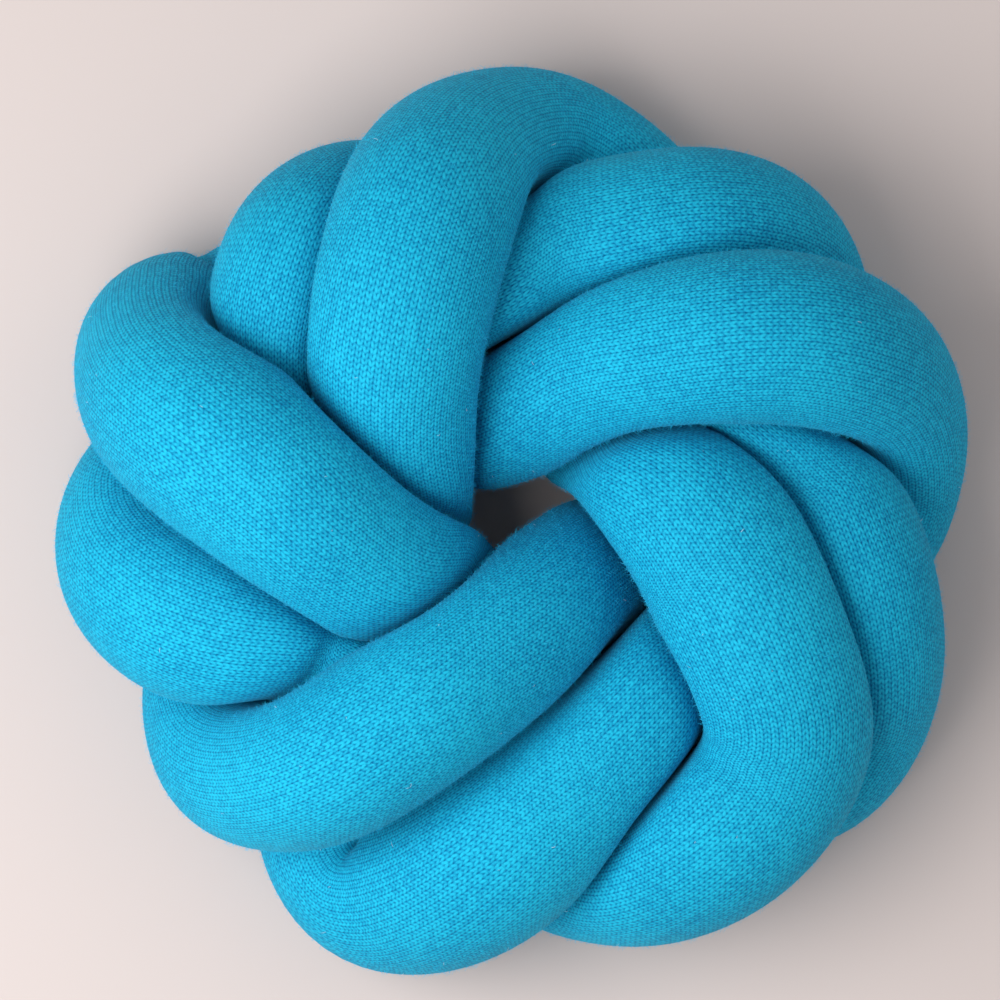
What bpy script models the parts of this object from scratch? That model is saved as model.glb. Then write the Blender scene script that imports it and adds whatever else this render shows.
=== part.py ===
# Pretzel cushion: one filled knitted tube, woven over and under itself into a round ten-lobed knot.
# Metres, +Z up. It lies on its back on the floor plane z = 0, with the middle of its box at x = y = 0.

import bpy
import numpy as np

# Driving sizes
GRID = 0.00044
MIDDLE = (514.0, 520.0)
PRESSED = 0.052
LOWEST = 0.030
FILL = 0.95
SWELL = 1.10
SEAM_GAP = 0.0012
NEAR_TURN = 0.012
OTHER_TURN = 0.110
SECTIONS = 240
SIDES = 24
STEPS = 700
CROWD = 0.045

# Where the tube's middle runs, read in plan on a grid of 0.44 mm with x to the right and y downwards.
# One row for each visible pass of the tube, in the order in which the tube runs through them.
COLUMNS = ("name", "layer", "width_mm", "rise", "leg", "crown", "shoulder", "turn", "rim", "bight", "tuck", "under")
PASSES = (
    ("top", "upper", 80, (381, 548), (386, 440), (394, 336), (419, 240), (465, 175), (528, 156), (578, 180),
     (638, 230), (705, 330)),
    ("right_lower", "lower", 78, (770, 437), (826, 522), (850, 622), None, None, (843, 706), None,
     (795, 766), (690, 750)),
    ("left", "upper", 84, (420, 606), (349, 544), (274, 478), (203, 419), (172, 373), (175, 342), None,
     (226, 366), (318, 340)),
    ("top_right", "lower", 77, (490, 275), (570, 250), (640, 240), (704, 237), None, (756, 266), None,
     (778, 335), (752, 430)),
    ("bottom_left", "upper", 70, (655, 532), (578, 580), (490, 649), (400, 713), (318, 759), (245, 762), None,
     (224, 700), (250, 560)),
    ("top_left", "lower", 76, (292, 410), (288, 345), (295, 300), None, None, (327, 248), None,
     (388, 248), (490, 310)),
    ("right", "upper", 87, (650, 452), (698, 508), (748, 600), (770, 688), (756, 762), (698, 823), (618, 844),
     (548, 830), (440, 745)),
    ("left_lower", "lower", 82, (345, 650), (288, 628), (222, 618), None, None, (153, 562), None,
     (165, 496), (272, 420)),
    ("upper_right", "upper", 74, (475, 410), (560, 380), (640, 352), (720, 340), (798, 345), (866, 392), (880, 455),
     (856, 535), (770, 600)),
    ("bottom", "lower", 84, (693, 660), (612, 737), (524, 815), (446, 868), None, (374, 872), None,
     (342, 795), (333, 665)),
)

# How high the tube's middle is at each place in each layer, in mm, before the passes are pressed apart,
# and how firmly the plan holds it there (1 = as read, 0 = free to lie where its neighbours let it).
PLACES = ("place", "upper_mm", "lower_mm", "hold", "girth")
HEIGHTS = (
    ("rise", 50, 50, 0.45, 0.86),
    ("leg", 90, 72, 0.8, 0.94),
    ("crown", 105, 76, 1.0, 1.0),
    ("shoulder", 100, 72, 1.0, 1.0),
    ("turn", 80, 62, 1.0, 1.0),
    ("rim", 62, 50, 1.0, 1.0),
    ("bight", 45, 42, 0.7, 1.0),
    ("tuck", 36, 36, 0.45, 0.95),
    ("under", 34, 34, 0.05, 0.93),
)


def plan_to_metres(spot):
    """x = GRID * (column - middle column), y = GRID * (middle row - row)."""
    return GRID * (spot[0] - MIDDLE[0]), GRID * (MIDDLE[1] - spot[1])


def stations():
    """The tube's middle, its hold and its width at each named place, in the order of the run."""
    heights = {row[0]: dict(zip(PLACES, row)) for row in HEIGHTS}
    points = []
    holds = []
    widths = []
    for row in PASSES:
        one = dict(zip(COLUMNS, row))
        for place in COLUMNS[3:]:
            if one[place] is None:
                continue
            x, y = plan_to_metres(one[place])
            points.append((x, y, 0.001 * heights[place][one["layer"] + "_mm"]))
            holds.append(heights[place]["hold"])
            widths.append(0.001 * one["width_mm"] * heights[place]["girth"])
    return np.array(points), np.array(holds), np.array(widths)


def evenly(line, values, count, crowd=0.0):
    """The same closed line in count steps of its own length, with the values that ride on it.

    Steps are even for crowd = 0, and shorter by 1 / (1 + crowd * bend) where the line bends.
    """
    ahead = np.roll(line, -1, 0) - line
    steps = np.linalg.norm(ahead, axis=1)
    turn = np.linalg.norm(ahead / steps[:, None] - np.roll(ahead / steps[:, None], 1, 0), axis=1) / steps
    turn = np.convolve(np.concatenate([turn[-4:], turn, turn[:4]]), np.ones(9) / 9, "valid")
    along = np.concatenate([[0.0], np.cumsum(steps)])
    effort = np.concatenate([[0.0], np.cumsum(steps * (1 + crowd * turn))])
    wanted = np.interp(np.arange(count) * effort[-1] / count, effort, along)
    spots = np.stack([np.interp(wanted, along[:-1], line[:, k], period=along[-1]) for k in range(3)], 1)
    carried = [np.interp(wanted, along[:-1], value, period=along[-1]) for value in values]
    return spots, carried, wanted, along[-1]


def smooth_line(points, values, count):
    """A closed centripetal spline through the points: cubic Hermite pieces on square-root knots."""
    total = len(points)
    u = np.linspace(0.0, 1.0, 40, endpoint=False)[:, None]
    line = []
    carried = [[] for value in values]
    for i in range(total):
        a, b, c, d = (points[(i + k - 1) % total] for k in range(4))
        ab = np.sqrt(np.linalg.norm(b - a))
        bc = np.sqrt(np.linalg.norm(c - b))
        cd = np.sqrt(np.linalg.norm(d - c))
        leave = (c - b) + bc * ((b - a) / ab - (c - a) / (ab + bc))
        arrive = (c - b) + bc * ((d - c) / cd - (d - b) / (bc + cd))
        line.append((2 * u**3 - 3 * u**2 + 1) * b + (u**3 - 2 * u**2 + u) * leave
                    + (3 * u**2 - 2 * u**3) * c + (u**3 - u**2) * arrive)
        for place, value in zip(carried, values):
            place.append(value[i] * (1 - u[:, 0]) + value[(i + 1) % total] * u[:, 0])
    return evenly(np.vstack(line), [np.concatenate(place) for place in carried], count)


def press_apart(line, hold, length):
    """Passes nearer than PRESSED push each other away while the plan, bending and the floor hold them.

    Each step adds to every point: 0.45 of the mean shortfall to its near passes, minus 0.35 of the
    fourth difference along the line (bending), a pull back to the plan, and a small weight.
    """
    count = len(line)
    index = np.arange(count)
    apart = np.abs(index[:, None] - index[None, :])
    other = np.minimum(apart, count - apart) >= int(0.130 * count / length)
    spots = line.copy()
    for step in range(STEPS):
        between = spots[:, None] - spots[None, :]
        distance = np.sqrt((between**2).sum(2)) + 1e-9
        short = np.where(other & (distance < PRESSED), PRESSED - distance, 0.0)
        push = (between * (short / distance)[:, :, None]).sum(1)
        push /= np.maximum((short > 0).sum(1), 1)[:, None]
        push[:, 2] *= 1.5
        curl = (np.roll(spots, 1, 0) + np.roll(spots, -1, 0)) / 2 - spots
        stiff = (np.roll(curl, 1, 0) + np.roll(curl, -1, 0)) / 2 - curl
        spots = spots + 0.45 * push - 0.35 * stiff + 0.03 * curl
        spots[:, :2] += (line[:, :2] - spots[:, :2]) * (0.25 * hold[:, None])
        spots[:, 2] = np.maximum(spots[:, 2] - 0.0002, LOWEST)
    return spots


def frames(line):
    """Directions across the line that turn with it and meet themselves after one round."""
    count = len(line)
    ahead = np.roll(line, -1, 0) - np.roll(line, 1, 0)
    ahead /= np.linalg.norm(ahead, axis=1)[:, None]
    across = np.zeros_like(line)
    first = np.array([0.0, 0.0, 1.0]) - ahead[0] * ahead[0][2]
    across[0] = first / np.linalg.norm(first)
    for i in range(1, count):
        carried = across[i - 1] - ahead[i] * (across[i - 1] @ ahead[i])
        across[i] = carried / np.linalg.norm(carried)
    last = across[-1] - ahead[0] * (across[-1] @ ahead[0])
    leftover = np.arctan2(last @ np.cross(ahead[0], across[0]), last @ across[0])
    angle = -leftover * np.arange(count)[:, None] / count
    across = across * np.cos(angle) + np.cross(ahead, across) * np.sin(angle)
    return across, np.cross(ahead, across)


def reach_of_neighbours(line, along, out, others, others_along, length):
    """How far each ray may run before it meets the plane-like border with another part of the tube.

    A ray d from the middle c meets the border with the middle q where it is as far from c as from q,
    less the gap g: r = (|c - q|^2 - g^2) / (2 (g - d.(c - q))).
    """
    reach = np.full(out.shape[:2], 1.0)
    for other, other_along in zip(others, others_along):
        apart = np.abs(along - other_along)
        apart = np.minimum(apart, length - apart)
        gap = np.where(apart > OTHER_TURN, SEAM_GAP, 0.25 * SEAM_GAP)
        away = line - other
        slope = 2 * (gap[:, None] - np.einsum("ijk,ik->ij", out, away))
        ray = ((away**2).sum(1) - gap**2)[:, None] / np.maximum(slope, 1e-9)
        meets = (slope > 1e-9) & (ray > 0) & (apart > NEAR_TURN)[:, None]
        reach = np.where(meets, np.minimum(reach, ray), reach)
    return reach


def tube(sections, sides):
    """The filled tube's skin: every section keeps its fill, flattened where it meets itself or the floor."""
    points, holds, widths = stations()
    line, (hold, width), along, length = smooth_line(points, (holds, widths), 240)
    settled = press_apart(line, hold, length)
    others, _, others_along, length = evenly(settled, (), 480)
    line, (width,), along, length = evenly(settled, (width,), sections, CROWD)
    across, beside = frames(line)
    phi = np.arange(sides) * 2 * np.pi / sides
    out = (across[:, None, :] * np.cos(phi)[None, :, None] + beside[:, None, :] * np.sin(phi)[None, :, None])
    reach = reach_of_neighbours(line, along, out, others, others_along, length)
    down = -out[:, :, 2]
    to_floor = np.where(down > 1e-6, line[:, None, 2] / np.maximum(down, 1e-6), 9.0)
    base = 0.5 * FILL * width
    free = base.copy()
    bound = np.minimum(reach, to_floor)
    for step in range(6):
        radius = (free[:, None] ** -10.0 + bound ** -10.0) ** -0.1
        area = 0.5 * (radius**2).sum(1) * 2 * np.pi / sides
        free = np.clip(free * np.sqrt(np.pi * base**2 / area), 0.9 * base, SWELL * base)
        around = np.concatenate([free[-4:], free, free[:4]])
        free = np.convolve(around, np.ones(9) / 9, "valid")
    radius = (free[:, None] ** -10.0 + reach ** -10.0) ** -0.1
    skin = line[:, None, :] + out * radius[:, :, None]
    skin[:, :, 2] = np.maximum(skin[:, :, 2], 0.0)
    middle = (skin.min((0, 1)) + skin.max((0, 1))) / 2
    skin[:, :, :2] -= middle[:2]
    return skin


def body(name, skin, colour, roughness):
    """One closed body from a skin of rings that meet end to end, facing out and shaded smooth."""
    rings, sides = skin.shape[:2]
    ring, side = np.meshgrid(np.arange(rings), np.arange(sides), indexing="ij")
    here = ring * sides + side
    beside = ring * sides + (side + 1) % sides
    ahead = ((ring + 1) % rings) * sides + side
    both = ((ring + 1) % rings) * sides + (side + 1) % sides
    faces = np.concatenate([np.stack([here, both, beside], -1).reshape(-1, 3),
                            np.stack([here, ahead, both], -1).reshape(-1, 3)])
    corners = skin.reshape(-1, 3)
    a, b, c = (corners[faces[:, k]] for k in range(3))
    if (np.cross(a, b) * c).sum() < 0:
        faces = faces[:, ::-1]
    mesh = bpy.data.meshes.new(name)
    mesh.from_pydata(corners.tolist(), [], faces.tolist())
    mesh.update()
    mesh.shade_smooth()
    material = bpy.data.materials.new(name + "_knit")
    material.use_nodes = True
    shader = material.node_tree.nodes["Principled BSDF"]
    shader.inputs["Base Color"].default_value = colour
    shader.inputs["Roughness"].default_value = roughness
    shader.inputs["Metallic"].default_value = 0.0
    mesh.materials.append(material)
    made = bpy.data.objects.new(name, mesh)
    bpy.context.scene.collection.objects.link(made)
    return made


for old in list(bpy.data.objects):
    bpy.data.objects.remove(old)

body("knotted_tube", tube(SECTIONS, SIDES), (0.016, 0.40, 0.66, 1.0), 0.85)
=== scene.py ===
# %% [markdown]
# A knotted floor cushion, seen from straight above. The real one is a single long tube of knitted
# cloth, filled with fibre and woven over and under itself into a round knot. This script dresses
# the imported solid: it makes a finer skin of the same tube, gives it the knit, and lights it softly.
# Sizes are in metres, unless a name ends in mm.

# %% Load the frame
import math

import bpy
import numpy as np
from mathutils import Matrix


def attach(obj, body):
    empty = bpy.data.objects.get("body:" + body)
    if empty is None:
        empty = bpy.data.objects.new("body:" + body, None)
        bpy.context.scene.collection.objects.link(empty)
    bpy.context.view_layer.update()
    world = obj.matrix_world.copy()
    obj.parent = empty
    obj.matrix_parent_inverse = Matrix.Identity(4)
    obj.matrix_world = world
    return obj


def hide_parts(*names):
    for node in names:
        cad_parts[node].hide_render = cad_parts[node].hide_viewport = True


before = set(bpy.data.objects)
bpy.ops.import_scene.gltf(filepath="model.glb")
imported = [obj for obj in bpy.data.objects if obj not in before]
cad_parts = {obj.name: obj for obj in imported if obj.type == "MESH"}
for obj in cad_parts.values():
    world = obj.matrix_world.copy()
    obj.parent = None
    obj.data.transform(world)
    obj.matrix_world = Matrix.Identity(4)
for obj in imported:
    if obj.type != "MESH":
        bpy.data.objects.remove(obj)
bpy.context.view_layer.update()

# %% [markdown]
# The run of the tube comes first. The places were read on the face of the cushion, pass by pass, on
# a grid of 0.44 mm, as in the part's source: where each pass rises out from under another, crosses
# over the top, turns down at the rim and tucks under again. Rows follow each other along the tube.
# A second table gives each place its height, how firmly the plan holds it there, and its girth as a
# share of the pass's width.

# %% The run of the tube
GRID = 0.00044
GRID_MIDDLE = (514.0, 520.0)
MILLIMETRE = 0.001
COLUMNS = ("name", "layer", "width_mm", "rise", "leg", "crown", "shoulder", "turn", "rim", "bight",
           "tuck", "under")
PASSES = (
    ("top", "upper", 80, (381, 548), (386, 440), (394, 336), (419, 240), (465, 175), (528, 156),
     (578, 180), (638, 230), (705, 330)),
    ("right_lower", "lower", 78, (770, 437), (826, 522), (850, 622), None, None, (843, 706),
     None, (795, 766), (690, 750)),
    ("left", "upper", 84, (420, 606), (349, 544), (274, 478), (203, 419), (172, 373), (175, 342),
     None, (226, 366), (318, 340)),
    ("top_right", "lower", 77, (490, 275), (570, 250), (640, 240), (704, 237), None, (756, 266),
     None, (778, 335), (752, 430)),
    ("bottom_left", "upper", 70, (655, 532), (578, 580), (490, 649), (400, 713), (318, 759), (245, 762),
     None, (224, 700), (250, 560)),
    ("top_left", "lower", 76, (292, 410), (288, 345), (295, 300), None, None, (327, 248),
     None, (388, 248), (490, 310)),
    ("right", "upper", 87, (650, 452), (698, 508), (748, 600), (770, 688), (756, 762), (698, 823),
     (618, 844), (548, 830), (440, 745)),
    ("left_lower", "lower", 82, (345, 650), (288, 628), (222, 618), None, None, (153, 562),
     None, (165, 496), (272, 420)),
    ("upper_right", "upper", 74, (475, 410), (560, 380), (640, 352), (720, 340), (798, 345), (866, 392),
     (880, 455), (856, 535), (770, 600)),
    ("bottom", "lower", 84, (693, 660), (612, 737), (524, 815), (446, 868), None, (374, 872),
     None, (342, 795), (333, 665)),
)
PLACES = ("place", "upper_mm", "lower_mm", "hold", "girth")
HEIGHTS = (
    ("rise", 50, 50, 0.45, 0.86),
    ("leg", 90, 72, 0.8, 0.94),
    ("crown", 105, 76, 1.0, 1.0),
    ("shoulder", 100, 72, 1.0, 1.0),
    ("turn", 80, 62, 1.0, 1.0),
    ("rim", 62, 50, 1.0, 1.0),
    ("bight", 45, 42, 0.7, 1.0),
    ("tuck", 36, 36, 0.45, 0.95),
    ("under", 34, 34, 0.05, 0.93),
)


def stations():
    """The tube's middle, its hold and its width at each named place, in the order of the run.

    x and y are the place's distance from the grid's middle, z its height, width the pass's times girth.
    """
    heights = {row[0]: dict(zip(PLACES, row)) for row in HEIGHTS}
    points = []
    holds = []
    widths = []
    for row in PASSES:
        one = dict(zip(COLUMNS, row))
        for place in COLUMNS[3:]:
            if one[place] is None:
                continue
            x = GRID * (one[place][0] - GRID_MIDDLE[0])
            y = GRID * (GRID_MIDDLE[1] - one[place][1])
            points.append((x, y, MILLIMETRE * heights[place][one["layer"] + "_mm"]))
            holds.append(heights[place]["hold"])
            widths.append(MILLIMETRE * one["width_mm"] * heights[place]["girth"])
    return np.array(points), np.array(holds), np.array(widths)


places, holds, widths = stations()
print(len(places), "places along the tube")

# %% [markdown]
# A smooth closed line goes through the places. A centripetal spline is used because it never loops
# back on itself between places that lie unevenly, as these do at the rim.

# %% The smooth line
SPLINE_STEPS = 40
LINE_POINTS = 240


def evenly(line, values, count):
    """The same closed line in count even steps of its own length, with the values that ride on it.

    It gives the new points, their values, how far along the line each one lies, and the line's length.
    """
    steps = np.linalg.norm(np.roll(line, -1, 0) - line, axis=1)
    along = np.concatenate([[0.0], np.cumsum(steps)])
    length = along[-1]
    wanted = np.arange(count) * length / count
    spots = np.stack([np.interp(wanted, along[:-1], line[:, k], period=length) for k in range(3)], 1)
    carried = [np.interp(wanted, along[:-1], value, period=length) for value in values]
    return spots, carried, wanted, length


def smooth_line(points, values, count):
    """A closed centripetal spline through the points: cubic Hermite pieces on square-root knots."""
    total = len(points)
    u = np.linspace(0.0, 1.0, SPLINE_STEPS, endpoint=False)[:, None]
    line = []
    carried = [[] for _ in values]
    for i in range(total):
        a, b, c, d = (points[(i + k - 1) % total] for k in range(4))
        ab = np.sqrt(np.linalg.norm(b - a))
        bc = np.sqrt(np.linalg.norm(c - b))
        cd = np.sqrt(np.linalg.norm(d - c))
        leave = (c - b) + bc * ((b - a) / ab - (c - a) / (ab + bc))
        arrive = (c - b) + bc * ((d - c) / cd - (d - b) / (bc + cd))
        line.append((2 * u**3 - 3 * u**2 + 1) * b + (u**3 - 2 * u**2 + u) * leave
                    + (3 * u**2 - 2 * u**3) * c + (u**3 - u**2) * arrive)
        for row, value in zip(carried, values):
            row.append(value[i] * (1 - u[:, 0]) + value[(i + 1) % total] * u[:, 0])
    return evenly(np.vstack(line), [np.concatenate(row) for row in carried], count)


line, (hold, width), _, length = smooth_line(places, (holds, widths), LINE_POINTS)
print("tube before pressing: %.2f m" % length)

# %% [markdown]
# On the real cushion the passes lie pressed on each other. Here near passes push each other away in
# small steps, while the plan, the tube's stiffness, its weight and the floor hold them. This finds
# the heights that a photograph from above can't show.

# %% Passes pressed apart
PRESSED = 0.052
LOWEST = 0.030
SAME_PASS = 0.130
PRESS_STEPS = 700
PUSH = 0.45
PUSH_UPWARDS = 1.5
STIFFNESS = 0.35
TENSION = 0.03
PLAN_PULL = 0.25
SINKING = 0.0002
TINY = 1e-9


def press_apart(line, hold, length):
    """Passes nearer than PRESSED push each other away while the plan, bending and the floor hold them.

    Each step adds to every point PUSH times the mean shortfall to its near passes and TENSION times
    its curl, takes away STIFFNESS times the curl of the curl, pulls it back to the plan and lets it
    sink a little. Curl is the mean of the two neighbours less the point. Points nearer than SAME_PASS
    along the tube don't push each other.
    """
    count = len(line)
    index = np.arange(count)
    apart = np.abs(index[:, None] - index[None, :])
    other = np.minimum(apart, count - apart) >= int(SAME_PASS * count / length)
    spots = line.copy()
    for _ in range(PRESS_STEPS):
        between = spots[:, None] - spots[None, :]
        distance = np.sqrt((between**2).sum(2)) + TINY
        short = np.where(other & (distance < PRESSED), PRESSED - distance, 0.0)
        push = (between * (short / distance)[:, :, None]).sum(1)
        push /= np.maximum((short > 0).sum(1), 1)[:, None]
        push[:, 2] *= PUSH_UPWARDS
        curl = (np.roll(spots, 1, 0) + np.roll(spots, -1, 0)) / 2 - spots
        bending = (np.roll(curl, 1, 0) + np.roll(curl, -1, 0)) / 2 - curl
        spots = spots + PUSH * push - STIFFNESS * bending + TENSION * curl
        spots[:, :2] += (line[:, :2] - spots[:, :2]) * (PLAN_PULL * hold[:, None])
        spots[:, 2] = np.maximum(spots[:, 2] - SINKING, LOWEST)
    return spots


settled = press_apart(line, hold, length)
print("highest middle: %.0f mm" % (1000 * settled[:, 2].max()))

# %% [markdown]
# The skin is a tube round that line, and needs far more sections than the line has points. Straight
# runs between the points would show as rings on the cloth. So the line is read as a sum of sines and
# cosines, which can be worked out anywhere along it.

# %% A finer line
FINE_POINTS = 9600


def finer(values, count):
    """A closed row of values at count even steps: the same sum of sines and cosines, so no corner shows."""
    return np.fft.irfft(np.fft.rfft(values, axis=0), count, axis=0) * count / len(values)


def blurred(values, reach):
    """The mean of each value and its neighbours up to reach steps away, round a closed row."""
    around = np.concatenate([values[-reach:], values, values[:reach]])
    return np.convolve(around, np.ones(2 * reach + 1) / (2 * reach + 1), "valid")


fine_line = finer(settled, FINE_POINTS)
fine_width = finer(width, FINE_POINTS)
print("finer line:", len(fine_line), "points")

# %% [markdown]
# Each section is a ring of rays that go out from the middle. Directions taken from the way the tube
# bends would flip where it bends the other way. So each one is carried on from the one before.

# %% Directions across the tube
SECTIONS = 1100
SIDES = 88


def frames(line):
    """Directions across the line that turn with it and meet themselves after one round.

    Each is the one before it with its part along the line taken out; what is left over after the
    round is spread evenly as a slow turn.
    """
    count = len(line)
    ahead = np.roll(line, -1, 0) - np.roll(line, 1, 0)
    ahead /= np.linalg.norm(ahead, axis=1)[:, None]
    across = np.zeros_like(line)
    first = np.array([0.0, 0.0, 1.0]) - ahead[0] * ahead[0][2]
    across[0] = first / np.linalg.norm(first)
    for i in range(1, count):
        carried = across[i - 1] - ahead[i] * (across[i - 1] @ ahead[i])
        across[i] = carried / np.linalg.norm(carried)
    last = across[-1] - ahead[0] * (across[-1] @ ahead[0])
    leftover = np.arctan2(last @ np.cross(ahead[0], across[0]), last @ across[0])
    angle = -leftover * np.arange(count)[:, None] / count
    across = across * np.cos(angle) + np.cross(ahead, across) * np.sin(angle)
    return across, np.cross(ahead, across)


def rays(line, sides):
    """Directions out of each point, all round: across cos(phi) + beside sin(phi)."""
    across, beside = frames(line)
    phi = np.arange(sides) * 2 * np.pi / sides
    return across[:, None, :] * np.cos(phi)[None, :, None] + beside[:, None, :] * np.sin(phi)[None, :, None]


middles, (full_width,), along, length = evenly(fine_line, (fine_width,), SECTIONS)
out = rays(middles, SIDES)
print("%d sections with %d rays each, over %.2f m" % (SECTIONS, SIDES, length))

# %% [markdown]
# Cloth can't pass through cloth. Two filled passes that press on each other share one flat face,
# halfway between their middles. So each ray stops a hair before that face.

# %% Where the tube meets itself
SEAM_GAP = 0.0012
FOLD_GAP = 0.25 * SEAM_GAP
NEAR_TURN = 0.012
OTHER_TURN = 0.110
NEIGHBOURS = 960
FAR = 1.0


def reach_of_neighbours(line, along, out, others, others_along, length):
    """How far each ray may run before it meets the face that it shares with another part of the tube.

    A ray d from the middle c meets the face shared with the middle q where it is as far from c as
    from q, less the gap g: r = (|c - q|^2 - g^2) / (2 (g - d.(c - q))). The gap is SEAM_GAP, or
    FOLD_GAP to a part nearer than OTHER_TURN along the tube. Parts nearer than NEAR_TURN don't count.
    """
    reach = np.full(out.shape[:2], FAR)
    for other, other_along in zip(others, others_along):
        apart = np.abs(along - other_along)
        apart = np.minimum(apart, length - apart)
        gap = np.where(apart > OTHER_TURN, SEAM_GAP, FOLD_GAP)
        away = line - other
        slope = 2 * (gap[:, None] - np.einsum("ijk,ik->ij", out, away))
        ray = ((away**2).sum(1) - gap**2)[:, None] / np.maximum(slope, TINY)
        meets = (slope > TINY) & (ray > 0) & (apart > NEAR_TURN)[:, None]
        reach = np.where(meets, np.minimum(reach, ray), reach)
    return reach


others, _, others_along, _ = evenly(fine_line, (), NEIGHBOURS)
reach = reach_of_neighbours(middles, along, out, others, others_along, length)
print("rays that meet another part: %.0f %%" % (100 * (reach < FAR).mean()))

# %% [markdown]
# Every section keeps its filling: what is pressed in on one side, by another pass or by the floor,
# bulges out a little on the others. A cloth simulation could find such a shape too, but it would
# move the passes away from where the real ones lie.

# %% The skin of the tube
FILL = 0.95
SWELL = 1.10
SHRINK = 0.90
CORNER = 10.0
DOWNWARDS = 1e-6
FILL_ROUNDS = 6
FILL_BLUR = 18
OPEN_AIR = 1.02


def pressed_radius(free, bound):
    """The free radius, rounded off towards the bound: (free^-n + bound^-n)^(-1/n), with n = CORNER."""
    return (free[:, None] ** -CORNER + bound ** -CORNER) ** (-1 / CORNER)


def tube(line, width, out, reach):
    """The filled tube's skin, flattened where it meets itself or the floor, and where it is in the open.

    Point(s, phi) = middle(s) + direction(s, phi) * pressed radius(s, phi), never below the floor. The
    free radius at s grows until the section has the area of a plain round one.
    """
    down = -out[:, :, 2]
    to_floor = np.where(down > DOWNWARDS, line[:, None, 2] / np.maximum(down, DOWNWARDS), FAR)
    bound = np.minimum(reach, to_floor)
    base = 0.5 * FILL * width
    free = base.copy()
    for _ in range(FILL_ROUNDS):
        area = 0.5 * (pressed_radius(free, bound)**2).sum(1) * 2 * np.pi / out.shape[1]
        free = np.clip(free * np.sqrt(np.pi * base**2 / area), SHRINK * base, SWELL * base)
        free = blurred(free, FILL_BLUR)
    skin = line[:, None, :] + out * pressed_radius(free, reach)[:, :, None]
    skin[:, :, 2] = np.maximum(skin[:, :, 2], 0.0)
    return skin, bound > OPEN_AIR * free[:, None]


skin, open_air = tube(middles, full_width, out, reach)
box_middle = (skin.min((0, 1)) + skin.max((0, 1))) / 2
skin[:, :, :2] -= box_middle[:2]
print("skin", skin.shape, "low", skin.min((0, 1)), "high", skin.max((0, 1)))
print("in the open air: %.0f %% of the skin" % (100 * open_air.mean()))

# %% [markdown]
# Inside a tight bend the rings would run into each other and leave a sharp pinch. Real cloth gathers
# into a soft hollow there. So where the rings crowd, the points are drawn towards their neighbours.

# %% Soft hollows in the bends
CROWD_FROM = 1.5
CROWD_SLOPE = 2.2
SPREAD = 0.6
SPREAD_ROUNDS = 8
DRAW = 0.5
DRAW_ROUNDS = 80
DRAWN_FROM = 0.2


def near_mean(grid):
    """The mean of the four neighbours on a grid that closes both ways."""
    return (np.roll(grid, 1, 0) + np.roll(grid, -1, 0) + np.roll(grid, 1, 1) + np.roll(grid, -1, 1)) / 4


def soften_folds(skin):
    """The skin with its crowded points drawn towards their neighbours, and how crowded each one is.

    crowded = CROWD_FROM - CROWD_SLOPE times the ring spacing over its mean, from 0 to 1 and spread a
    little; each round adds DRAW times crowded times (mean of the neighbours - point).
    """
    spacing = np.linalg.norm(np.roll(skin, -1, 0) - np.roll(skin, 1, 0), axis=2)
    crowded = np.clip(CROWD_FROM - CROWD_SLOPE * spacing / spacing.mean(), 0.0, 1.0)
    for _ in range(SPREAD_ROUNDS):
        crowded = (1 - SPREAD) * crowded + SPREAD * near_mean(crowded)
    soft = skin.copy()
    for _ in range(DRAW_ROUNDS):
        soft += DRAW * crowded[:, :, None] * (near_mean(soft) - soft)
    return soft, crowded


skin, crowded = soften_folds(skin)
print("drawn in: %.1f %% of the skin" % (100 * (crowded > DRAWN_FROM).mean()))

# %% [markdown]
# The knit was made as a tube, so its columns follow the tube and its rows go round it. The rows are
# counted along the sides of the tube that show, where they lie 2.45 mm apart on every pass.

# %% Counting the stitches
COLUMNS_ROUND = 69
ROW_STEP = 0.00245
OPEN_SHARE = 0.5
ROW_BLUR = 8


def face_run(skin, open_air):
    """Share of the run at each ring and its whole length, along the sides that show.

    The step at a ring is sum(w step) / sum(w), with w = max(0, rise above the ring's middle / reach)^2
    and OPEN_SHARE more in the open air.
    """
    step = np.linalg.norm(np.roll(skin, -1, 0) - skin, axis=2)
    away = skin - skin.mean(1)[:, None]
    weight = np.maximum(away[:, :, 2] / np.linalg.norm(away, axis=2), 0.0) ** 2 + OPEN_SHARE * open_air
    step = blurred((weight * step).sum(1) / weight.sum(1), ROW_BLUR)
    run = np.concatenate([[0.0], np.cumsum(step)])
    return run[:-1] / run[-1], run[-1]


row_share, face_length = face_run(skin, open_air)
ROWS_ALONG = round(face_length / ROW_STEP)
print("rows along the tube:", ROWS_ALONG)

# %% [markdown]
# The mesh is a grid of rings that closes both ways. Its UV map counts stitches: u is the number of
# stitch columns round the tube, measured along the cloth, and v the number of rows along it. So the
# knit packs together inside a bend and opens outside it, as a pattern fixed in space never would.

# %% The mesh and its stitch map
def new_object(name, data):
    """A new object at the origin with this data, linked to the scene."""
    made = bpy.data.objects.new(name, data)
    bpy.context.scene.collection.objects.link(made)
    return made


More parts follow.
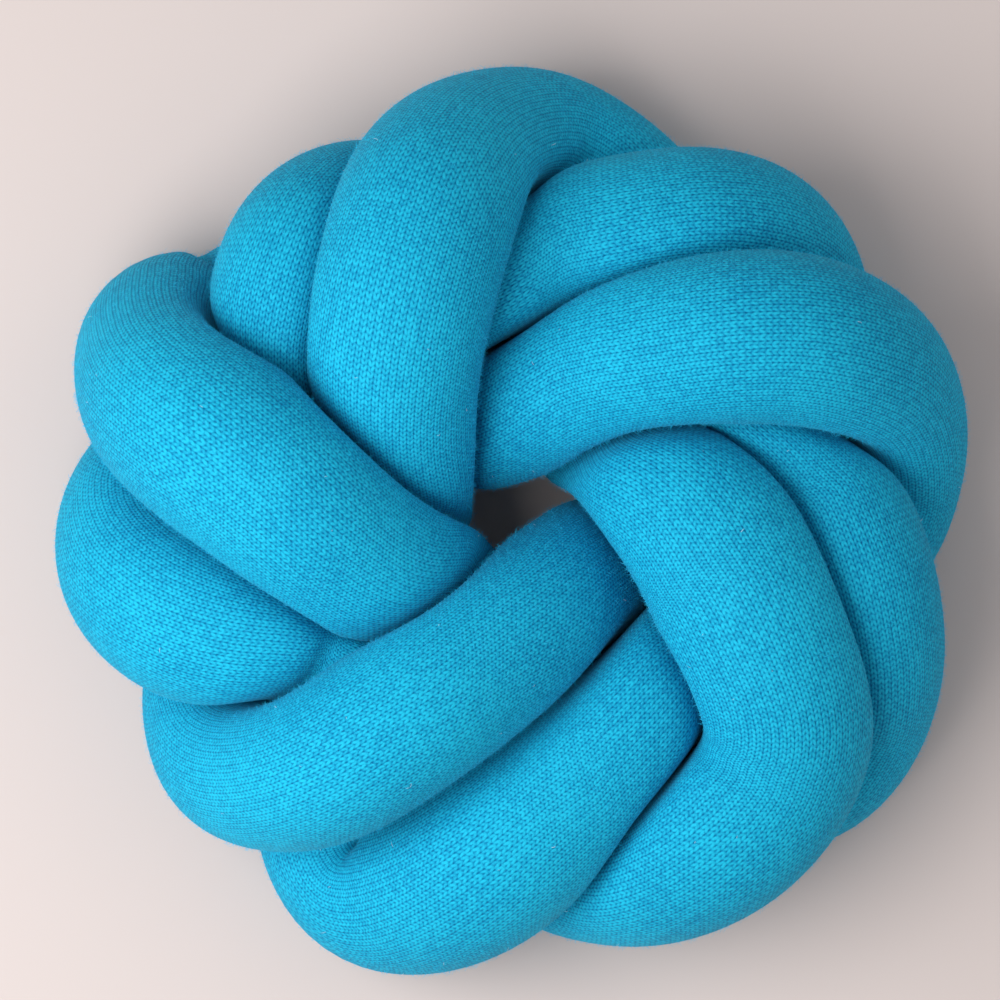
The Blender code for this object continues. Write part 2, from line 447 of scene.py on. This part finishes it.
def ring_mesh(name, skin, row_share):
    """A closed grid of quads: face (i, j) joins rings i, i + 1 and sides j, j + 1, facing outwards.

    u = COLUMNS_ROUND times the share of the way round the ring, v = ROWS_ALONG times the row share.
    """
    rings, sides = skin.shape[:2]
    ring, side = np.meshgrid(np.arange(rings), np.arange(sides), indexing="ij")
    steps = np.linalg.norm(np.roll(skin, -1, 1) - skin, axis=2)
    round_share = np.cumsum(steps, 1) / steps.sum(1)[:, None]
    round_share = np.concatenate([np.zeros((rings, 1)), round_share], 1)
    round_share = np.concatenate([round_share, round_share[:1]], 0)
    far_share = np.append(row_share, 1.0)
    order = ((0, 0), (1, 0), (1, 1), (0, 1))
    faces = np.stack([((ring + a) % rings) * sides + (side + b) % sides for a, b in order], -1)
    stitch = np.stack([np.stack([COLUMNS_ROUND * round_share[ring + a, side + b],
                                 ROWS_ALONG * far_share[ring + a]], -1) for a, b in order], -2)
    faces = faces.reshape(-1, 4)
    stitch = stitch.reshape(-1, 4, 2)
    points = skin.reshape(-1, 3)
    a, b, c = (points[faces[:, k]] for k in range(3))
    if (np.cross(a, b) * c).sum() < 0:
        faces = faces[:, ::-1]
        stitch = stitch[:, ::-1]
    mesh = bpy.data.meshes.new(name)
    mesh.from_pydata(points.tolist(), [], faces.tolist())
    mesh.update()
    mesh.shade_smooth()
    chart = mesh.uv_layers.new(name="stitch")
    chart.data.foreach_set("uv", np.ascontiguousarray(stitch, dtype=np.float32).ravel())
    return new_object(name, mesh)


cushion = ring_mesh("knit_tube", skin, row_share)
print(len(cushion.data.polygons), "faces")

# %% [markdown]
# The knit is plain jersey. Each column is a row of V shapes: two slanted strands that meet in the
# middle. A node group works it out from the stitch map, so that other finishes can use it too.
# Its height is a strand rounded across and plump in the middle of each leg, and lowest where
# four strands meet.

# %% Node helpers
def add_math(tree, operation, first, second=None, third=None):
    """One Math node. Inputs may be sockets or numbers."""
    node = tree.nodes.new("ShaderNodeMath")
    node.operation = operation
    for socket, value in zip(node.inputs, (first, second, third)):
        if value is None:
            continue
        if isinstance(value, (int, float)):
            socket.default_value = value
        else:
            tree.links.new(value, socket)
    return node.outputs[0]


def add_wave(tree, turns, rate):
    """|sin(rate turns)| as two Math nodes after the product."""
    return add_math(tree, "ABSOLUTE", add_math(tree, "SINE", add_math(tree, "MULTIPLY", turns, rate)))


def new_group(name, inputs, outputs):
    """An empty shader node group with named sockets: (name, type, default)."""
    group = bpy.data.node_groups.new(name, "ShaderNodeTree")
    for label, kind, default in inputs:
        socket = group.interface.new_socket(label, in_out="INPUT", socket_type=kind)
        if default is not None:
            socket.default_value = default
    for label, kind in outputs:
        group.interface.new_socket(label, in_out="OUTPUT", socket_type=kind)
    return group, group.nodes.new("NodeGroupInput"), group.nodes.new("NodeGroupOutput")


# %% The stitch group
LEAN = 0.55
WAVER = 0.10
WAVER_SCALE = 0.9
WAVER_DETAIL = 1.0
ROW_WAVER = 1.5
STRAND_DIP = 0.21
LEG_DIP = 0.14
MEETING_DIP = 0.28
GROOVE_DIP = 0.15
CHANCE_DIP = 0.20
GROOVE_SHARPNESS = 3.0


def jersey_group():
    """Jersey stitches: t = zigzag(u), y = v + lean t, strand = |sin(pi y)|, leg = |sin(2 pi u)|,
    groove = (1 - |sin(pi u)|)^3, chance = a random number for each leg. The height is 1 less each
    dip times its own share: 1 - strand, 1 - leg, (1 - strand)(1 - leg), groove and chance."""
    group, given, result = new_group(
        "jersey stitch",
        (("Stitch", "NodeSocketVector", None), ("Lean", "NodeSocketFloat", LEAN),
         ("Waver", "NodeSocketFloat", WAVER)),
        (("Height", "NodeSocketFloat"),))
    waver = group.nodes.new("ShaderNodeTexNoise")
    waver.inputs["Scale"].default_value = WAVER_SCALE
    waver.inputs["Detail"].default_value = WAVER_DETAIL
    group.links.new(given.outputs["Stitch"], waver.inputs["Vector"])
    split = group.nodes.new("ShaderNodeSeparateXYZ")
    group.links.new(given.outputs["Stitch"], split.inputs[0])
    drift = add_math(group, "SUBTRACT", waver.outputs["Fac"], 0.5)
    drift = add_math(group, "MULTIPLY", drift, given.outputs["Waver"])
    u = add_math(group, "ADD", split.outputs[0], drift)
    v = add_math(group, "ADD", split.outputs[1], add_math(group, "MULTIPLY", drift, ROW_WAVER))
    zigzag = add_math(group, "MULTIPLY", add_math(group, "PINGPONG", u, 0.5), 2.0)
    y = add_math(group, "ADD", v, add_math(group, "MULTIPLY", zigzag, given.outputs["Lean"]))
    low_strand = add_math(group, "SUBTRACT", 1.0, add_wave(group, y, math.pi))
    low_leg = add_math(group, "SUBTRACT", 1.0, add_wave(group, u, 2 * math.pi))
    meeting = add_math(group, "MULTIPLY", low_strand, low_leg)
    groove = add_math(group, "SUBTRACT", 1.0, add_wave(group, u, math.pi))
    groove = add_math(group, "POWER", groove, GROOVE_SHARPNESS)
    spot = group.nodes.new("ShaderNodeCombineXYZ")
    group.links.new(add_math(group, "FLOOR", add_math(group, "MULTIPLY", u, 2.0)), spot.inputs[0])
    group.links.new(add_math(group, "FLOOR", y), spot.inputs[1])
    chance = group.nodes.new("ShaderNodeTexWhiteNoise")
    group.links.new(spot.outputs[0], chance.inputs["Vector"])
    height = 1.0
    for share, dip in ((low_strand, STRAND_DIP), (low_leg, LEG_DIP), (meeting, MEETING_DIP),
                       (groove, GROOVE_DIP), (chance.outputs["Value"], CHANCE_DIP)):
        height = add_math(group, "SUBTRACT", height, add_math(group, "MULTIPLY", share, dip))
    group.links.new(height, result.inputs["Height"])
    return group


JERSEY = jersey_group()
print("group:", JERSEY.name)

# %% [markdown]
# Soft yarn also has loose fibres and an uneven dye. A second group gives both: a fine noise for the
# fibres, a coarse one for the cloth's slow changes of tone.

# %% Yarn group
FINE_SCALE = 1400.0
SLOW_SCALE = 14.0
YARN_DETAIL = 3.0


def yarn_group():
    """Fibre = fine noise on object coordinates; Tone = slow noise, both 0 to 1."""
    group, given, result = new_group(
        "yarn unevenness",
        (("Place", "NodeSocketVector", None), ("Fine", "NodeSocketFloat", FINE_SCALE),
         ("Slow", "NodeSocketFloat", SLOW_SCALE)),
        (("Fibre", "NodeSocketFloat"), ("Tone", "NodeSocketFloat")))
    for label, scale in (("Fibre", "Fine"), ("Tone", "Slow")):
        noise = group.nodes.new("ShaderNodeTexNoise")
        noise.inputs["Detail"].default_value = YARN_DETAIL
        group.links.new(given.outputs["Place"], noise.inputs["Vector"])
        group.links.new(given.outputs[scale], noise.inputs["Scale"])
        group.links.new(noise.outputs["Fac"], result.inputs[label])
    return group


YARN = yarn_group()
print("group:", YARN.name)

# %% [markdown]
# The dye is one clear blue. One ramp paints light and shade into it: painted shade in the gaps between the
# stitches and a painted highlight on their tops. It runs from the stitch height, moved a little by the
# dye's tone and the fibres. The same height feeds the bump. A faint sheen stands for the down on the yarn.

# %% The knit material
# The ramp's colours: painted shade for the gaps between stitches, the dye's mid blue, and a painted
# highlight for the stitch tops.
GAP_SHADE_BLUE = (0.000, 0.069, 0.190, 1.0)
MID_BLUE = (0.000, 0.200, 0.400, 1.0)
TOP_HIGHLIGHT_BLUE = (0.010, 0.450, 0.675, 1.0)
SHEEN_BLUE = (0.25, 0.80, 0.98, 1.0)
GAP_SHADE_AT = 0.05
MID_AT = 0.55
TOP_HIGHLIGHT_AT = 1.0
TONE_TIMES_PLUS = (0.30, -0.15)
FIBRE_TIMES_PLUS = (0.60, -0.24)
FIBRE_RELIEF = 0.25
BUMP_STRENGTH = 0.75
STITCH_DEPTH = 0.0006
KNIT_FINISH = (
    ("Roughness", 0.78),
    ("Specular IOR Level", 0.12),
    ("Sheen Weight", 0.10),
    ("Sheen Roughness", 0.35),
    ("Sheen Tint", SHEEN_BLUE),
)


def placed_group(tree, group, values):
    """A node that places the group in a material, with its own values."""
    node = tree.nodes.new("ShaderNodeGroup")
    node.node_tree = group
    for label, value in values:
        node.inputs[label].default_value = value
    return node


def knit_material(name):
    """Colour by stitch height, from painted shade in the gaps to a painted highlight on the stitch tops,
    bump from stitches and fibres, soft sheen.
    """
    material = bpy.data.materials.new(name)
    material.use_nodes = True
    tree = material.node_tree
    shader = tree.nodes["Principled BSDF"]
    chart = tree.nodes.new("ShaderNodeUVMap")
    chart.uv_map = "stitch"
    place = tree.nodes.new("ShaderNodeTexCoord")
    jersey = placed_group(tree, JERSEY, (("Lean", LEAN), ("Waver", WAVER)))
    tree.links.new(chart.outputs["UV"], jersey.inputs["Stitch"])
    yarn = placed_group(tree, YARN, (("Fine", FINE_SCALE), ("Slow", SLOW_SCALE)))
    tree.links.new(place.outputs["Object"], yarn.inputs["Place"])
    tone = add_math(tree, "MULTIPLY_ADD", yarn.outputs["Tone"], *TONE_TIMES_PLUS)
    fibre = add_math(tree, "MULTIPLY_ADD", yarn.outputs["Fibre"], *FIBRE_TIMES_PLUS)
    # Stitch height, which gives painted shade in the gaps and a painted highlight on the tops, plus the
    # dye's real tone and the fibres.
    shade = add_math(tree, "ADD", jersey.outputs["Height"], add_math(tree, "ADD", tone, fibre))
    ramp = tree.nodes.new("ShaderNodeValToRGB")
    ramp.color_ramp.elements[0].position = GAP_SHADE_AT
    ramp.color_ramp.elements[0].color = GAP_SHADE_BLUE
    ramp.color_ramp.elements[1].position = TOP_HIGHLIGHT_AT
    ramp.color_ramp.elements[1].color = TOP_HIGHLIGHT_BLUE
    ramp.color_ramp.elements.new(MID_AT).color = MID_BLUE
    tree.links.new(shade, ramp.inputs["Fac"])
    tree.links.new(ramp.outputs["Color"], shader.inputs["Base Color"])
    relief = add_math(tree, "MULTIPLY_ADD", yarn.outputs["Fibre"], FIBRE_RELIEF, jersey.outputs["Height"])
    bump = tree.nodes.new("ShaderNodeBump")
    bump.inputs["Strength"].default_value = BUMP_STRENGTH
    bump.inputs["Distance"].default_value = STITCH_DEPTH
    tree.links.new(relief, bump.inputs["Height"])
    tree.links.new(bump.outputs["Normal"], shader.inputs["Normal"])
    for label, value in KNIT_FINISH:
        shader.inputs[label].default_value = value
    return material


KNIT = knit_material("blue_knit")
cushion.data.materials.append(KNIT)
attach(cushion, "root")
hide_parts("knotted_tube")
print("material:", KNIT.name)

# %% [markdown]
# Worn knit is never quite smooth: ends of yarn stand off it and blur its outline against the floor.
# The longer ones are thin three-sided spikes with one bend, the short nap between them is straight,
# and a few pale ones are lint. All stand on seeded random places where no other pass lies close.
# A hair system would look the same, but would not last into the exported model.

# %% Loose fibres
FREE_BELOW = 0.3
LOWEST_TIP = 0.0001
NOT_ZERO = 1e-12
ROOT_DEPTH = 0.0002
FOOT_DEPTH = 0.0001
TAPER = 0.8
LOWER_RISE = 0.75
LOWER_LEAN = 0.66
UPPER_RISE = 0.35
UPPER_LEAN = 0.94
NAP_RISE = 0.70
NAP_LEAN = 0.714
THIRDS = (0.0, 2 * math.pi / 3, 4 * math.pi / 3)
BENT_FACES = ((0, 2, 1), (0, 1, 4), (0, 4, 3), (1, 2, 5), (1, 5, 4), (2, 0, 3), (2, 3, 5), (3, 4, 6),
              (4, 5, 6), (5, 3, 6))
STRAIGHT_FACES = ((0, 2, 1), (0, 1, 3), (1, 2, 3), (2, 0, 3))


def roots_on(skin, where, count, chance):
    """Random places on the free cloth, the outward normal n there and a random direction t along it."""
    rings, sides = skin.shape[:2]
    i, j = np.nonzero(where)
    pick = chance.integers(0, len(i), count)
    i, j = i[pick], j[pick]
    ahead = skin[(i + 1) % rings, j] - skin[i, j]
    beside = skin[i, (j + 1) % sides] - skin[i, j]
    root = skin[i, j] + ahead * chance.random((count, 1)) + beside * chance.random((count, 1))
    normal = np.cross(ahead, beside)
    centre = skin.mean(1)[i]
    normal *= np.sign((normal * (skin[i, j] - centre)).sum(1))[:, None]
    normal /= np.linalg.norm(normal, axis=1)[:, None] + NOT_ZERO
    turn = chance.random((count, 1)) * 2 * math.pi
    along = ahead / (np.linalg.norm(ahead, axis=1)[:, None] + NOT_ZERO)
    return root, normal, along * np.cos(turn) + np.cross(normal, along) * np.sin(turn)


def sizes(count, shortest, longest, chance):
    """Random lengths, more short ones than long: shortest + (longest - shortest) chance^2."""
    return shortest + (longest - shortest) * chance.random((count, 1)) ** 2


def joined_spikes(name, corners, pattern):
    """One mesh of many small closed pieces with the same faces, none of them below the floor."""
    points = np.stack(corners, 1)
    points[:, :, 2] = np.maximum(points[:, :, 2], LOWEST_TIP)
    first = points.shape[1] * np.arange(len(points))
    faces = (first[:, None, None] + np.array(pattern)[None]).reshape(-1, 3)
    mesh = bpy.data.meshes.new(name)
    mesh.from_pydata(points.reshape(-1, 3).tolist(), [], faces.tolist())
    mesh.update()
    return new_object(name, mesh)


def loose_fibres(name, skin, where, count, shortest, longest, thick, seed):
    """Bent spikes: middle = root + half the length times (LOWER_RISE n + LOWER_LEAN t), and the tip
    as far from the middle along UPPER_RISE n + UPPER_LEAN t."""
    chance = np.random.default_rng(seed)
    root, normal, tangent = roots_on(skin, where, count, chance)
    half = 0.5 * sizes(count, shortest, longest, chance)
    middle = root + half * (LOWER_RISE * normal + LOWER_LEAN * tangent)
    across = np.cross(normal, tangent)
    corners = []
    for place, share in ((root - ROOT_DEPTH * normal, 1.0), (middle, TAPER)):
        for angle in THIRDS:
            side = across * math.cos(angle) + normal * math.sin(angle)
            corners.append(place + 0.5 * thick * share * side)
    corners.append(middle + half * (UPPER_RISE * normal + UPPER_LEAN * tangent))
    return joined_spikes(name, corners, BENT_FACES)


def short_nap(name, skin, where, count, shortest, longest, thick, seed):
    """Straight spikes on a three-sided foot just under the cloth: tip = root + the length times
    (NAP_RISE n + NAP_LEAN t)."""
    chance = np.random.default_rng(seed)
    root, normal, tangent = roots_on(skin, where, count, chance)
    size = sizes(count, shortest, longest, chance)
    rise = NAP_RISE * normal + NAP_LEAN * tangent
    across = np.cross(normal, tangent)
    upper = np.cross(rise, across)
    corners = []
    for angle in THIRDS:
        side = across * math.cos(angle) + upper * math.sin(angle)
        corners.append(root - FOOT_DEPTH * rise + 0.5 * thick * side)
    corners.append(root + size * rise)
    return joined_spikes(name, corners, STRAIGHT_FACES)


free_cloth = open_air & (crowded < FREE_BELOW)
print("free cloth: %.0f %% of the skin" % (100 * free_cloth.mean()))

# %% The ends of yarn
def plain_material(name, colour, roughness, gloss):
    """One colour, one roughness and a little gloss, for thin ends of yarn and for the floor."""
    material = bpy.data.materials.new(name)
    material.use_nodes = True
    shader = material.node_tree.nodes["Principled BSDF"]
    shader.inputs["Base Color"].default_value = colour
    shader.inputs["Roughness"].default_value = roughness
    shader.inputs["Specular IOR Level"].default_value = gloss
    return material


YARN_ROUGHNESS = 0.8
YARN_GLOSS = 0.05
YARN_ENDS = (
    (loose_fibres, "yarn_fuzz", 19000, 0.0012, 0.0042, 0.00013, 7, "fuzz_blue", (0.02, 0.50, 0.80, 1.0)),
    (short_nap, "yarn_nap", 48000, 0.0008, 0.0034, 0.00012, 11, "nap_blue", (0.04, 0.54, 0.84, 1.0)),
    (loose_fibres, "lint", 110, 0.0012, 0.0030, 0.00022, 21, "lint_pale", (0.55, 0.72, 0.78, 1.0)),
)
for kind, name, count, shortest, longest, thick, seed, dye, colour in YARN_ENDS:
    piece = kind(name, skin, free_cloth, count, shortest, longest, thick, seed)
    piece.data.materials.append(plain_material(dye, colour, YARN_ROUGHNESS, YARN_GLOSS))
    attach(piece, "root")
    print(piece.name, len(piece.data.polygons), "faces")

# %% [markdown]
# The floor is plain and pale. It is part of the stage, not of the cushion.

# %% Floor
FLOOR_SIZE = 30.0
FLOOR_DROP = 0.0005
FLOOR_COLOUR = (0.58, 0.51, 0.495, 1.0)
FLOOR_ROUGHNESS = 0.75
FLOOR_GLOSS = 0.2


def plain_floor(size):
    """A square sheet, a hair below the cushion."""
    mesh = bpy.data.meshes.new("floor")
    half = size / 2
    mesh.from_pydata([(x * half, y * half, -FLOOR_DROP) for x, y in ((-1, -1), (1, -1), (1, 1), (-1, 1))],
                     [], [(0, 1, 2, 3)])
    mesh.materials.append(plain_material("pale_floor", FLOOR_COLOUR, FLOOR_ROUGHNESS, FLOOR_GLOSS))
    return new_object("floor", mesh)


floor = plain_floor(FLOOR_SIZE)
print("floor laid")

# %% [markdown]
# Soft light comes from the lower left, as on the real cushion, from one large soft panel. A weak
# panel from the right and an even sky keep the far sides readable. The Standard view transform is
# used, because the filmic one turns a blue as full as this dye pale.

# %% Light
LIT_SPOT = (0.0, 0.0, 0.05)
SKY_COLOUR = (1.0, 0.985, 0.975, 1.0)
SKY_STRENGTH = 0.50


def soft_panel(name, place, size, power, colour):
    """A square area light at place, turned towards the lit spot."""
    data = bpy.data.lights.new(name, "AREA")
    data.shape = "SQUARE"
    data.size = size
    data.energy = power
    data.color = colour
    lamp = new_object(name, data)
    lamp.location = place
    x, y, z = np.array(LIT_SPOT) - np.array(place)
    tilt = math.acos(-z / math.hypot(x, y, z))
    lamp.rotation_euler = (tilt, 0.0, math.atan2(y, x) - math.pi / 2)
    return lamp


def even_sky(colour, strength):
    """A world of one colour."""
    world = bpy.data.worlds.new("sky")
    world.use_nodes = True
    background = world.node_tree.nodes["Background"]
    background.inputs["Color"].default_value = colour
    background.inputs["Strength"].default_value = strength
    return world


key = soft_panel("key", (-0.76, -0.26, 1.12), 1.2, 23.0, (1.0, 0.99, 0.97))
fill = soft_panel("fill", (1.5, 0.6, 1.6), 1.6, 4.5, (1.0, 0.97, 0.95))
bpy.context.scene.world = even_sky(SKY_COLOUR, SKY_STRENGTH)
bpy.context.scene.view_settings.view_transform = "Standard"
print("lights set:", key.name, fill.name)

# %% [markdown]
# The camera looks straight down from high up with a long lens, so that the face is seen as on the
# real picture, with the cushion's box a little right of and below the middle.

# %% Camera
HIGH = 4.0
RIM_HIGH = 0.07
FRAME_WIDTH = 0.44
SENSOR_WIDTH = 36.0
VIEW_MIDDLE = (-0.0053, 0.0092)
view = bpy.data.cameras.new("camera")
view.sensor_width = SENSOR_WIDTH
view.lens = SENSOR_WIDTH * (HIGH - RIM_HIGH) / FRAME_WIDTH
view.clip_end = 100.0
camera = new_object("camera", view)
camera.location = (*VIEW_MIDDLE, HIGH)
bpy.context.scene.camera = camera
print("lens %.0f mm" % view.lens)
